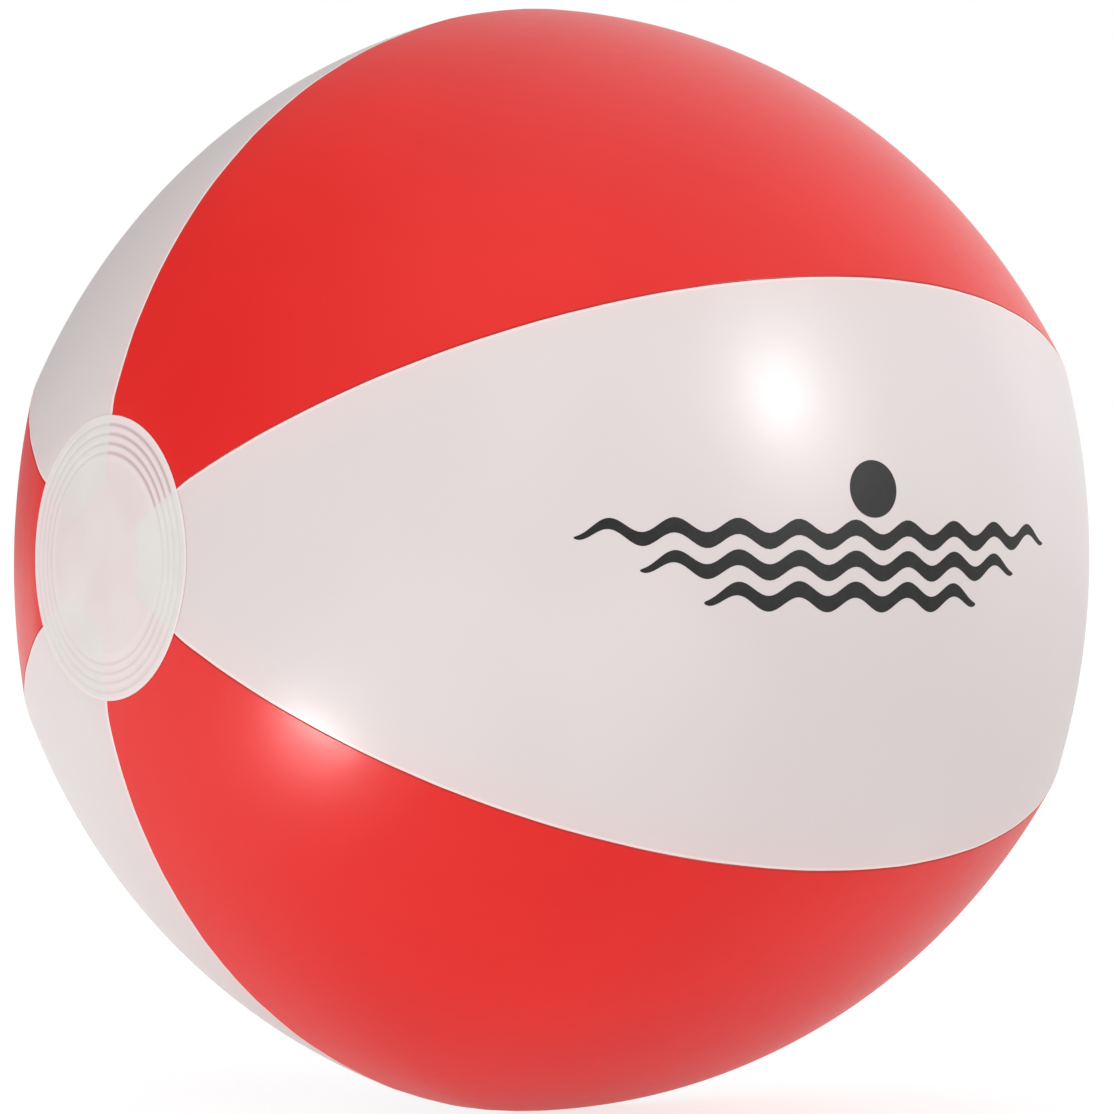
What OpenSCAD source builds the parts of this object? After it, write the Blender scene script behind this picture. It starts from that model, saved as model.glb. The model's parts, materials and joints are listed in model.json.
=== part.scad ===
// Inflatable beach ball: six film gores, two pole discs and an inflation valve with a stopper.
// The origin is the ball's centre. The polar axis runs along X and the ball rests on its lowest seam at -Z.

/* [Ball] */
// Diameter across the gore centres at the equator
ball_d = 302; // [240:1:500]
// Distance from the polar axis to a gore's own arc axis, as a share of the ball's radius
gore_flatness = 0.27; // [0.05:0.01:0.40]
// Thickness of the film
film_t = 0.3; // [0.25:0.05:0.6]

/* [Seams] */
// Width of the welded fin inside each seam
fin_w = 2.5; // [1.5:0.5:5]

/* [Pole discs] */
// Diameter of the disc welded over the gore ends
disc_d = 76; // [60:1:100]
// Thickness of the disc's film
disc_t = 0.4; // [0.3:0.05:0.6]
// Number of weld rings near the rim
weld_rings = 4; // [2:1:6]
// Distance between weld rings
weld_pitch = 2.5; // [1.6:0.1:3]

/* [Valve] */
// Distance along the gore from the pole disc to the valve's flange
valve_gap = 30; // [15:1:60]
// Outer diameter of the stem
stem_d = 10; // [9:0.5:12]
// Diameter of the stem's bore
bore_d = 6; // [5:0.1:6.4]
// Length of the stem below the ball's surface
stem_depth = 13; // [12:1:16]
// Outer diameter of the welded flange
flange_d = 30; // [28:1:36]

/* [Hidden] */

round_fn = 96;
ball_r = ball_d / 2;
gore_step = 60;
half_gore = gore_step / 2;
arc_offset = gore_flatness * ball_r;
arc_sweep = gore_step + 20;
reach = 2 * ball_r;

// Pole discs, welded on flat ends just wider than themselves
disc_r = disc_d / 2;
plate_margin = 1;
plate_r = disc_r + plate_margin;
plate_h = sqrt(ball_r * ball_r - plate_r * plate_r);
gore_end_r = disc_r / 2;
section_start = gore_end_r / 2;
weld_edge = 2.5;
weld_groove_r = 0.35;
weld_groove_depth = 0.12;
weld_groove_h = plate_h + disc_t + weld_groove_r - weld_groove_depth;

// Valve, with heights measured along its axis from the film's outer surface
valve_gore = 4;
flange_r = flange_d / 2;
valve_angle = asin(plate_r / ball_r) + (valve_gap + flange_r) * 180 / (PI * ball_r);
flange_t = 0.8;
moving_gap = 0.3;
fit_gap = 0.05;
through = 100;

// Stem, with the rim that the stopper closes
stem_r = stem_d / 2;
bore_r = bore_d / 2;
rim_lip = 1.2;
rim_r = stem_r + rim_lip;
rim_t = 1;
rim_top = 2.2;
rim_low = rim_top - rim_t;

// Soft well that the stem is pushed down into
well_gap = 4;
well_r = stem_r + well_gap;
web_t = 0.6;
web_rise = 3;
web_depth = stem_depth - web_rise;
web_corner = 2;
web_corner_r = well_r - web_corner;
web_hole_r = stem_r + moving_gap;

// Strap and its hinge on the stem's lug
hinge_r = well_r;
lug_w = 4.4;
strap_w = 3.6;
strap_t = 0.8;
strap_z = rim_top + moving_gap;
hinge_z = strap_z + strap_t / 2;

// Stopper
head_r = rim_r;
head_t = 1.8;
head_edge = 0.5;
pin_l = 5;
pin_join = 0.01;
pin_arc_r = sqrt(pow(hinge_r + bore_r, 2) + pow(hinge_z - rim_top, 2)) - fit_gap;
tab_l = 4;
tab_w = 6;
tab_t = 1;
tab_x = -head_r - tab_l + tab_w / 2;

// Check flap under the stem's inner end
flap_edge = 1;
flap_r = bore_r + flap_edge;
flap_t = 0.5;
flap_reach = 0.4;
flap_hinge_r = flap_r + flap_reach;
flap_low = -stem_depth - moving_gap - flap_t;

white = [0.93, 0.92, 0.92];
red = [0.88, 0.22, 0.20];
disc_white = [0.95, 0.86, 0.85];
valve_white = [0.96, 0.96, 0.95];

// Turns the polar axis from Z to X
module polar_to_x() {
    rotate([0, 90, 0])
        children();
}

// Turns what is drawn around +X to the place of gore number k
module at_gore(k) {
    rotate([0, 0, k * gore_step - 90])
        children();
}

// Half section between two heights above the nominal surface, with a flat end under the disc
module film_section(low, high, start) {
    difference() {
        intersection() {
            circle(r = ball_r + high, $fn = round_fn);
            translate([start, -plate_h - high])
                square([reach, 2 * (plate_h + high)]);
        }
        intersection() {
            circle(r = ball_r + low, $fn = round_fn);
            translate([0, -plate_h - low])
                square([reach, 2 * (plate_h + low)]);
        }
    }
}

// The same section swept about the gore's own arc axis
module film_shell(low, high, start) {
    translate([-arc_offset, 0, 0])
        rotate([0, 0, -arc_sweep / 2])
            rotate_extrude(angle = arc_sweep, $fn = round_fn)
                translate([arc_offset, 0])
                    film_section(low, high, start);
}

// Prism of one gore's sixth of the ball, drawn in by margin from both seam planes
module gore_wedge(margin) {
    translate([margin / sin(half_gore), 0, 0])
        linear_extrude(height = reach, center = true)
            polygon([[0, 0], [reach, reach * tan(half_gore)], [reach, -reach * tan(half_gore)]]);
}

// One gore of film, with its edges turned inwards into the fins that are welded to its neighbours
module gore_film() {
    difference() {
        intersection() {
            film_shell(-fin_w, 0, section_start);
            gore_wedge(0);
        }
        intersection() {
            film_shell(-2 * fin_w, -film_t, section_start / 2);
            gore_wedge(film_t);
        }
        cylinder(r = gore_end_r, h = reach, center = true, $fn = round_fn);
    }
}

// Moves what is drawn on the film's surface at the valve to its place
module at_valve() {
    rotate([0, valve_angle, 0])
        translate([0, 0, ball_r])
            children();
}

module gore_front() {
    color(white)
        polar_to_x() at_gore(0) gore_film();
}

module gore_front_low() {
    color(red)
        polar_to_x() at_gore(1) gore_film();
}

module gore_back_low() {
    color(white)
        polar_to_x() at_gore(2) gore_film();
}

module gore_back() {
    color(red)
        polar_to_x() at_gore(3) gore_film();
}

module gore_back_high() {
    color(white)
        polar_to_x() at_gore(valve_gore)
            difference() {
                gore_film();
                at_valve()
                    cylinder(r = well_r, h = through, center = true, $fn = round_fn);
            }
}

module gore_front_high() {
    color(red)
        polar_to_x() at_gore(5) gore_film();
}

// Pole disc with its rounded rim and weld rings
module pole_disc() {
    rotate_extrude($fn = round_fn)
        difference() {
            union() {
                translate([0, plate_h])
                    square([disc_r - disc_t / 2, disc_t]);
                translate([disc_r - disc_t / 2, plate_h + disc_t / 2])
                    circle(r = disc_t / 2, $fn = round_fn);
            }
            for (i = [0 : weld_rings - 1])
                translate([disc_r - weld_edge - i * weld_pitch, weld_groove_h])
                    circle(r = weld_groove_r, $fn = round_fn);
        }
}

module pole_disc_left() {
    color(disc_white)
        polar_to_x() rotate([180, 0, 0]) pole_disc();
}

module pole_disc_right() {
    color(disc_white)
        polar_to_x() pole_disc();
}

// Flange welded onto the film around the valve
module valve_flange() {
    color(valve_white)
        polar_to_x() at_gore(valve_gore)
            intersection() {
                film_shell(0, flange_t, section_start);
                at_valve()
                    difference() {
                        cylinder(r = flange_r, h = through, center = true, $fn = round_fn);
                        cylinder(r = well_r, h = through, center = true, $fn = round_fn);
                    }
            }
}

// Half section of the soft well around the stem
module web_section() {
    difference() {
        union() {
            translate([well_r - web_t, -web_depth + web_corner])
                square([web_t, web_depth - web_corner]);
            translate([web_hole_r, -web_depth])
                square([web_corner_r - web_hole_r, web_t]);
            intersection() {
                translate([web_corner_r, -web_depth + web_corner])
                    circle(r = web_corner, $fn = round_fn);
                translate([web_corner_r, -web_depth])
                    square([web_corner, web_corner]);
            }
        }
        translate([web_corner_r, -web_depth + web_corner])
            circle(r = web_corner - web_t, $fn = round_fn);
    }
}

module valve_web() {
    color(valve_white)
        polar_to_x() at_gore(valve_gore) at_valve()
            rotate_extrude($fn = round_fn)
                web_section();
}

// Stem with its rim and the lug that carries the strap
module valve_stem() {
    color(valve_white)
        polar_to_x() at_gore(valve_gore) at_valve()
            difference() {
                union() {
                    translate([0, 0, -stem_depth])
                        cylinder(r = stem_r, h = stem_depth + rim_top, $fn = round_fn);
                    translate([0, 0, rim_low])
                        cylinder(r = rim_r, h = rim_t, $fn = round_fn);
                    translate([0, -lug_w / 2, rim_low])
                        cube([hinge_r, lug_w, rim_t]);
                }
                cylinder(r = bore_r, h = through, center = true, $fn = round_fn);
            }
}

// Flap that closes the stem's inner end, with a round edge where it bends
module check_flap() {
    color(valve_white)
        polar_to_x() at_gore(valve_gore) at_valve()
            union() {
                translate([0, 0, flap_low])
                    cylinder(r = flap_r, h = flap_t, $fn = round_fn);
                translate([0, -flap_r / 2, flap_low])
                    cube([flap_hinge_r, flap_r, flap_t]);
                translate([flap_hinge_r, 0, flap_low + flap_t / 2])
                    rotate([90, 0, 0])
                        cylinder(d = flap_t, h = flap_r, center = true, $fn = round_fn);
            }
}

// Half section of the stopper's pin, an arc about the strap's hinge
module pin_section() {
    intersection() {
        translate([-hinge_r, hinge_z])
            circle(r = pin_arc_r, $fn = round_fn);
        translate([0, rim_top - pin_l])
            square([bore_r, pin_l + moving_gap + pin_join]);
    }
}

// Half section of the stopper's head, with a rounded upper edge
module head_section() {
    translate([0, strap_z])
        square([head_r, head_t - head_edge]);
    translate([0, strap_z])
        square([head_r - head_edge, head_t]);
    translate([head_r - head_edge, strap_z + head_t - head_edge])
        circle(r = head_edge, $fn = round_fn);
}

// Stopper with its pin and finger tab
module stopper() {
    color(valve_white)
        polar_to_x() at_gore(valve_gore) at_valve()
            union() {
                rotate_extrude($fn = round_fn)
                    union() {
                        pin_section();
                        head_section();
                    }
                translate([tab_x, 0, strap_z])
                    cylinder(r = tab_w / 2, h = tab_t, $fn = round_fn);
                translate([tab_x, -tab_w / 2, strap_z])
                    cube([head_r, tab_w, tab_t]);
            }
}

// Strap from the stopper's head to its hinge
module tether() {
    color(valve_white)
        polar_to_x() at_gore(valve_gore) at_valve()
            difference() {
                union() {
                    translate([0, -strap_w / 2, strap_z])
                        cube([hinge_r, strap_w, strap_t]);
                    translate([hinge_r, 0, hinge_z])
                        rotate([90, 0, 0])
                            cylinder(d = strap_t, h = strap_w, center = true, $fn = round_fn);
                }
                cylinder(r = head_r, h = through, center = true, $fn = round_fn);
            }
}

gore_front();
gore_front_low();
gore_back_low();
gore_back();
gore_back_high();
gore_front_high();
pole_disc_left();
pole_disc_right();
valve_flange();
valve_web();
valve_stem();
check_flap();
stopper();
tether();
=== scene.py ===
import json
import math

import bmesh
import bpy
from bpy.props import FloatProperty, FloatVectorProperty, IntProperty, PointerProperty
from mathutils import Matrix, Vector


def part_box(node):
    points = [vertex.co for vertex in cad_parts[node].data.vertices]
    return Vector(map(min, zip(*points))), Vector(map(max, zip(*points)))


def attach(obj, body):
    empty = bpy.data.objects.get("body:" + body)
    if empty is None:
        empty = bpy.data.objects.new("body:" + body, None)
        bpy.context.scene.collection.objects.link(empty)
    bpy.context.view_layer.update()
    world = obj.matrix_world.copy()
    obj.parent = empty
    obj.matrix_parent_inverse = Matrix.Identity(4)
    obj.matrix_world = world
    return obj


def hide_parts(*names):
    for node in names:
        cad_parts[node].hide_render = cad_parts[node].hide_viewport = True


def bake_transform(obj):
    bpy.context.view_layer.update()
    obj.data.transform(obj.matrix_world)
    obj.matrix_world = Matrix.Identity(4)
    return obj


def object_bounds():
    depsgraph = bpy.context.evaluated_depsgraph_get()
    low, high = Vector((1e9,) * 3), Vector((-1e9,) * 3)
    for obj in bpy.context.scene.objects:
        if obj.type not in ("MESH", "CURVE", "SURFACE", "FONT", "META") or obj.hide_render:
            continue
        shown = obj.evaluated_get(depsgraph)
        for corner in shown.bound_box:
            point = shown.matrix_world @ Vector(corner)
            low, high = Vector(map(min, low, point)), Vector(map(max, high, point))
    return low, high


bl_info = {
    "name": "Beach Ball",
    "version": (1, 0, 0),
    "blender": (4, 5, 0),
    "location": "View3D > Sidebar > Beach Ball",
    "description": "Makes the film, pole discs, print and valve of an inflatable beach ball",
    "category": "Object",
}

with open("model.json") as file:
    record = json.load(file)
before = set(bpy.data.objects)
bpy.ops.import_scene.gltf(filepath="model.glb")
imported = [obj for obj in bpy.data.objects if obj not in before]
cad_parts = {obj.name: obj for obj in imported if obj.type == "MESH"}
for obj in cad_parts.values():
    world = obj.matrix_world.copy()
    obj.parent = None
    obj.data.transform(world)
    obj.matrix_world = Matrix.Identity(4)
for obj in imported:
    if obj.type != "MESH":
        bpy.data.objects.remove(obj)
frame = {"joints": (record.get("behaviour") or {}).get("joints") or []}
CAD_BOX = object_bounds()

# Sizes read from the frame, in metres
FRONT_GORES = ("gore_front", "gore_front_low")
BACK_GORES = ("gore_back_low", "gore_back", "gore_back_high")
GORES = (*FRONT_GORES, *BACK_GORES, "gore_front_high")
FILMS = ("white", "red")
VALVE_GORE = 4
GORE_STEP = math.radians(60)
HALF_GORE = GORE_STEP / 2
BALL_R = -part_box("gore_front")[0].y
SEAM_R = -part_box("gore_front_low")[0].z
ARC_OFFSET = (SEAM_R**2 - BALL_R**2) / (2 * (BALL_R - SEAM_R * math.cos(HALF_GORE)))
DISC_LOW, DISC_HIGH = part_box("pole_disc_right")
DISC_R = DISC_HIGH.z
DISC_T = DISC_HIGH.x - DISC_LOW.x
PLATE_H = DISC_LOW.x
PLATE_R = math.sqrt(BALL_R**2 - PLATE_H**2)
JOINTS = {joint["name"]: joint for joint in frame["joints"]}
VALVE_UP = Vector(JOINTS["stem_pull"]["axis"]).normalized()
VALVE_SIDE = Vector(JOINTS["flap_swing"]["axis"]).normalized() * -1
VALVE_OUT = VALVE_SIDE.cross(VALVE_UP).normalized()
VALVE_SEAT = VALVE_UP * BALL_R
MM = 0.001
SHARP_ANGLE = math.radians(35)
WHITE = (1.0, 1.0, 1.0, 1.0)


# Wires: sums and products of sockets


class Wire:
    """An output socket of a node tree. Sums, products and powers of it add Math nodes."""

    def __init__(self, net, socket):
        self.net = net
        self.socket = socket

    def __add__(self, other):
        return self.net.math("ADD", self, other)

    def __radd__(self, other):
        return self.net.math("ADD", other, self)

    def __sub__(self, other):
        return self.net.math("SUBTRACT", self, other)

    def __rsub__(self, other):
        return self.net.math("SUBTRACT", other, self)

    def __mul__(self, other):
        return self.net.math("MULTIPLY", self, other)

    def __rmul__(self, other):
        return self.net.math("MULTIPLY", other, self)

    def __truediv__(self, other):
        return self.net.math("DIVIDE", self, other)

    def __pow__(self, other):
        return self.net.math("POWER", self, other)

    def __neg__(self):
        return self.net.math("MULTIPLY", self, -1.0)

    def __gt__(self, other):
        return self.net.math("GREATER_THAN", self, other)

    def __lt__(self, other):
        return self.net.math("LESS_THAN", self, other)

    def out(self, name):
        """Another output of the node that this wire leaves."""
        return Wire(self.net, self.socket.node.outputs[name])


class Net:
    """A node tree, shader or geometry, that is written as expressions."""

    def __init__(self, tree):
        self.tree = tree

    def add(self, kind, sockets=None, output=0, **settings):
        """Adds a node, sets its settings and then its sockets, and returns one of its outputs."""
        node = self.tree.nodes.new(kind)
        for name, value in settings.items():
            setattr(node, name, value)
        for name, value in (sockets or {}).items():
            self.join(value, node.inputs[name])
        return Wire(self, node.outputs[output]) if node.outputs else node

    def join(self, value, socket):
        if isinstance(value, Wire):
            self.tree.links.new(value.socket, socket)
        else:
            socket.default_value = value

    def math(self, operation, *values):
        return self.add("ShaderNodeMath", dict(enumerate(values)), operation=operation)

    def sin(self, value):
        return self.math("SINE", value)

    def cos(self, value):
        return self.math("COSINE", value)

    def sqrt(self, value):
        return self.math("SQRT", value)

    def size(self, value):
        return self.math("ABSOLUTE", value)

    def most(self, a, b):
        return self.math("MAXIMUM", a, b)

    def between(self, value, low, high):
        return self.math("MINIMUM", self.most(value, low), high)

    def run(self, value, start, length):
        """0 up to start and 1 from this length on, with an even rise between them."""
        return self.between((value - start) / length, 0.0, 1.0)

    def ramp(self, value, low, high):
        """0 below low and 1 above high, with a smooth rise between them. low may be above high."""
        share = self.run(value, low, high - low)
        return share * share * (3.0 - 2.0 * share)

    def vector(self, x, y, z):
        return self.add("ShaderNodeCombineXYZ", {0: x, 1: y, 2: z})

    def parts(self, vector):
        first = self.add("ShaderNodeSeparateXYZ", {0: vector})
        return first, first.out(1), first.out(2)

    def noise(self, place, scale, detail=2.0):
        sockets = {"Vector": place, "Scale": scale, "Detail": detail}
        return self.add("ShaderNodeTexNoise", sockets)

    def tint(self, share, low, high):
        """The colour low where share is 0 and high where it is 1."""
        sockets = {"Factor_Float": share, "A_Color": low, "B_Color": high}
        node = self.tree.nodes.new("ShaderNodeMix")
        node.data_type = "RGBA"
        for name, value in sockets.items():
            self.join(value, next(s for s in node.inputs if s.identifier == name))
        return Wire(self, next(s for s in node.outputs if s.identifier == "Result_Color"))

    def drift(self, noise, low, high, spread=0.2):
        """A tint that drifts between two display colours as the noise passes its middle."""
        return self.tint(self.ramp(noise, 0.5 - spread, 0.5 + spread), linear(low), linear(high))

    def bump(self, strength, distance, height):
        sockets = {"Strength": strength, "Distance": distance, "Height": height}
        return self.add("ShaderNodeBump", sockets)


# Objects


def placed(name, data):
    """A new object of this data in the scene."""
    thing = bpy.data.objects.new(name, data)
    bpy.context.scene.collection.objects.link(thing)
    return thing


def settled(piece):
    """A piece's mesh as its modifiers leave it."""
    seen = piece.evaluated_get(bpy.context.evaluated_depsgraph_get())
    return bpy.data.meshes.new_from_object(seen)


# Geometry trees


class Shape(Net):
    """A geometry tree with named inputs for its sizes."""

    KINDS = {
        float: "NodeSocketFloat",
        int: "NodeSocketInt",
        Vector: "NodeSocketVector",
        bpy.types.Material: "NodeSocketMaterial",
    }

    def __init__(self, name, **sizes):
        super().__init__(bpy.data.node_groups.new(name, "GeometryNodeTree"))
        self.sizes = sizes
        for label, value in sizes.items():
            kind = self.KINDS[type(value)]
            self.tree.interface.new_socket(name=label, in_out="INPUT", socket_type=kind)
        kind = "NodeSocketGeometry"
        self.tree.interface.new_socket(name="Mesh", in_out="OUTPUT", socket_type=kind)
        self.source = self.tree.nodes.new("NodeGroupInput")

    def __getitem__(self, label):
        """The wire of one of the tree's inputs."""
        return Wire(self, self.source.outputs[label])

    def tube(self, around, along):
        """A closed tube of rings, with the wires that number its rings and a ring's points."""
        sockets = {"Vertices": around, "Side Segments": along}
        tube = self.add("GeometryNodeMeshCylinder", sockets, fill_type="NGON")
        index = self.add("GeometryNodeInputIndex")
        ring = self.math("FLOOR", (index + 0.5) / around)
        return tube, ring, index - ring * around

    def end(self, mesh):
        """Smooth faces with sharp edges where they bend, and the finish, and the tree's output."""
        mesh = self.add("GeometryNodeSetShadeSmooth", {"Geometry": mesh})
        angle = self.add("GeometryNodeInputMeshEdgeAngle")
        sharp = {"Geometry": mesh, "Selection": angle > SHARP_ANGLE, "Shade Smooth": False}
        mesh = self.add("GeometryNodeSetShadeSmooth", sharp, domain="EDGE")
        mesh = self.add("GeometryNodeRealizeInstances", {"Geometry": mesh})
        finish = {"Geometry": mesh, "Material": self["Finish"]}
        mesh = self.add("GeometryNodeSetMaterial", finish)
        out = self.tree.nodes.new("NodeGroupOutput")
        self.join(mesh, out.inputs[0])

    def grow(self, name, **changed):
        """A plain mesh object of the tree's shape at these sizes."""
        piece = placed(name, bpy.data.meshes.new(name))
        modifier = piece.modifiers.new("shape", "NODES")
        modifier.node_group = self.tree
        sizes = {**self.sizes, **changed}
        for item in self.tree.interface.items_tree:
            if item.in_out == "INPUT":
                modifier[item.identifier] = sizes[item.name]
        mesh = settled(piece)
        mesh.name = name
        piece.modifiers.remove(modifier)
        piece.data = mesh
        if not mesh.polygons:
            raise RuntimeError(f"{name} came out empty")
        return piece


def labelled(sizes, *names):
    """These sizes under the names of a tree's inputs."""
    return {name.replace("_", " ").title(): getattr(sizes, name) for name in names}


def profile(shape, s, radius, drop):
    """Height of the film on a gore's centre line, at the distance s from the polar axis."""
    dome = shape.sqrt(shape.most(radius * radius - s * s, 0.0))
    plate_s = s / shape["Plate Radius"]
    plate = shape["Plate Height"] - drop + shape["Crown"] * (1.0 - plate_s * plate_s)
    return shape.math("SMOOTH_MIN", dome, plate, shape["Kink"])


def upright(shape, mesh, turn, x, y, z):
    """Turns a gore about the polar axis to its own place, and lays that axis along X."""
    across = x * shape.cos(turn) - y * shape.sin(turn)
    along = x * shape.sin(turn) + y * shape.cos(turn)
    sockets = {"Geometry": mesh, "Position": shape.vector(z, along, -across)}
    return shape.add("GeometryNodeSetPosition", sockets)


def from_ring(net, r, first, pitch, rings):
    """How far a radius is from the nearest weld ring, less than zero towards the disc's middle."""
    number = net.between(net.math("ROUND", (first - r) / pitch), 0.0, rings - 1.0)
    return r - first + number * pitch


# Steps of the film's mesh along a gore, and over half of its width
FILM_ROWS = 200
FILM_DOME, FILM_SHOULDER, FILM_FIN = 26, 6, 2
# How the steps over the dome close up towards the seam
DOME_CLOSING = 1.5
# Latitude, in radians, up to which the film is a plain arc and never meets the pole's plate
ARC_LATITUDE = 0.6
# In the noise of the gathers, the step between two seams and the spread away from one
SEAM_STEP, SEAM_SPREAD = 7.3, 0.6
WELL_CUTTER_H = 40 * MM
# Corners of what is round in the valve, its well and the floor
ROUND = 96


def gore_shape(sizes, finish):
    """One gore of film: a closed skin whose rounded shoulders turn inwards into welded fins."""
    names = ("ball_radius", "arc_offset", "film", "fin", "shoulder", "plate_height", "plate_radius")
    names += ("crown", "kink", "pucker", "pucker_length", "pucker_reach")
    own = {"Gore": 0, "Well Radius": 0.0, "Well Axis": VALVE_UP, "Finish": finish}
    own["End Radius"] = sizes.disc_radius / 2
    shape = Shape("Gore Film", **labelled(sizes, *names), **own)
    steps = FILM_DOME + FILM_SHOULDER + FILM_FIN
    side = 2 * steps + 1
    tube, ring, point = shape.tube(2 * side, FILM_ROWS)
    inner = point > side - 0.5
    mirrored = inner * (2.0 * side - 1.0 - 2.0 * point) + point
    step = mirrored - steps
    hand = shape.math("SIGN", step + 0.001)
    k = shape.size(step)
    radius, corner, offset = shape["Ball Radius"], shape["Shoulder"], shape["Arc Offset"]
    # Along the gore, from end to end
    end = shape.math("ARCCOSINE", shape["End Radius"] / radius)
    latitude = end * (ring * (2.0 / FILM_ROWS) - 1.0)
    # Across the gore: the dome, the shoulder and the fin
    dome_drop = inner * shape["Film"]
    round_r = corner - dome_drop
    half = (radius - dome_drop) * shape.cos(latitude) * math.sin(HALF_GORE)
    dome = (half - corner) * (1.0 - shape.run(k, 0, FILM_DOME)) ** DOME_CLOSING
    bend = shape.run(k, FILM_DOME, FILM_SHOULDER) * (math.pi / 2)
    fin = shape.run(k, FILM_DOME + FILM_SHOULDER, FILM_FIN)
    distance = corner - round_r * shape.sin(bend) + dome
    depth = corner - round_r * shape.cos(bend) + fin * (shape["Fin"] - corner)
    # Small puckers that fade away from the seam
    seam = shape.math("FLOORED_MODULO", shape["Gore"] + (hand + 1.0) / 2.0, len(GORES))
    spot = shape.vector(
        radius * latitude / shape["Pucker Length"],
        seam * SEAM_STEP,
        distance / shape["Pucker Reach"] * SEAM_SPREAD,
    )
    gathers = shape.noise(spot, 1.0) - 0.5
    fade = shape.math("EXPONENT", -distance / shape["Pucker Reach"])
    depth = depth + gathers * fade * shape["Pucker"]
    # Places in the gore's own section
    s = (radius - depth) * shape.cos(latitude)
    height = profile(shape, s, radius - depth, depth) * shape.math("SIGN", latitude)
    wall = shape.size(latitude) < ARC_LATITUDE
    height = wall * ((radius - depth) * shape.sin(latitude) - height) + height
    sweep = offset + s
    angle = HALF_GORE - shape.math("ARCSINE", (distance + offset * math.sin(HALF_GORE)) / sweep)
    x = sweep * shape.cos(angle) - offset
    y = sweep * shape.sin(angle) * hand
    turn = shape["Gore"] * GORE_STEP - math.pi / 2
    mesh = upright(shape, tube, turn, x, y, height)
    # The hole for the valve's well
    axis, well = shape["Well Axis"], shape["Well Radius"]
    sockets = {"Vertices": ROUND, "Radius": well, "Depth": WELL_CUTTER_H}
    cutter = shape.add("GeometryNodeMeshCylinder", sockets)
    aim = shape.add("FunctionNodeAlignRotationToVector", {"Vector": axis}, axis="Z")
    sockets = {"Vector": axis, "Scale": radius}
    reach = shape.add("ShaderNodeVectorMath", sockets, operation="SCALE")
    sockets = {"Geometry": cutter, "Translation": reach, "Rotation": aim}
    cutter = shape.add("GeometryNodeTransform", sockets)
    whole = shape.add("GeometryNodeFlipFaces", {"Mesh": mesh})
    sockets = {"Mesh 1": whole, "Mesh 2": cutter}
    cut = shape.add("GeometryNodeMeshBoolean", sockets, operation="DIFFERENCE", solver="EXACT")
    sockets = {"Switch": well > MM, "False": whole, "True": cut}
    mesh = shape.add("GeometryNodeSwitch", sockets, input_type="GEOMETRY")
    shape.end(mesh)
    return shape


# Steps of a disc's mesh around it, and over its plain middle, its rings, its rim and its underside
DISC_AROUND = 216
DISC_RUNS = (12, 60, 8, 10)
# Radius of the closed tip in a disc's middle, and share of the disc without rings
DISC_TIP = 0.6 * MM
DISC_PLAIN = 0.62


def disc_shape(sizes, finish):
    """A pole disc that lies on the gore ends, with a rounded rim and weld rings."""
    names = ("ball_radius", "arc_offset", "plate_height", "plate_radius", "crown", "kink", "rings")
    names += ("disc_radius", "disc_film", "first_ring", "ring_pitch", "ring_depth", "ring_width")
    shape = Shape("Pole Disc", **labelled(sizes, *names), Hand=1.0, Finish=finish)
    tube, ring, point = shape.tube(DISC_AROUND, sum(DISC_RUNS))
    disc_r, bead = shape["Disc Radius"], shape["Disc Film"] / 2.0
    plain = disc_r * DISC_PLAIN
    flat = disc_r - bead
    middle_run, ring_run, rim_run, under_run = DISC_RUNS
    top = middle_run + ring_run
    out = shape.run(ring, 0, middle_run) * (plain - DISC_TIP)
    out = out + shape.run(ring, middle_run, ring_run) * (flat - plain)
    back = shape.run(ring, top + rim_run, under_run)
    bend = shape.run(ring, top, rim_run) * math.pi
    r = DISC_TIP + out - back * (flat - DISC_TIP) + bead * shape.sin(bend)
    lift = bead + bead * shape.cos(bend)
    # Weld rings, pressed into the upper side
    first, pitch = shape["First Ring"], shape["Ring Pitch"]
    aside = from_ring(shape, r, first, pitch, shape["Rings"]) / shape["Ring Width"]
    groove = shape.most(1.0 - aside * aside, 0.0)
    upper = shape.cos(bend) > 0.5
    lift = lift - groove * groove * shape["Ring Depth"] * upper
    # The place on the gore ends
    angle = point * (2.0 * math.pi / DISC_AROUND)
    folded = shape.math("FLOORED_MODULO", angle + math.pi / 2 + HALF_GORE, GORE_STEP) - HALF_GORE
    offset = shape["Arc Offset"]
    s = shape.sqrt(r * r + 2.0 * r * offset * shape.cos(folded) + offset * offset) - offset
    height = profile(shape, s, shape["Ball Radius"], 0.0) + lift
    hand = shape["Hand"]
    x, y = r * shape.cos(angle), r * shape.sin(angle) * hand
    mesh = upright(shape, tube, 0.0, x, y, height * hand)
    shape.end(mesh)
    return shape


# Steps of a stroke's mesh along it and over its width
PRINT_ROWS = 160
PRINT_EDGE = 5
# Share of a stroke's length between its first and last rings, so that its tips stay open
STROKE_END = 0.9998
# Powers that make the tips of a row pointed late, and a sun's outline a circle
ROW_FULLNESS, SUN_FULLNESS = 5.0, 2.0
WAVE_ROWS = 3


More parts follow.
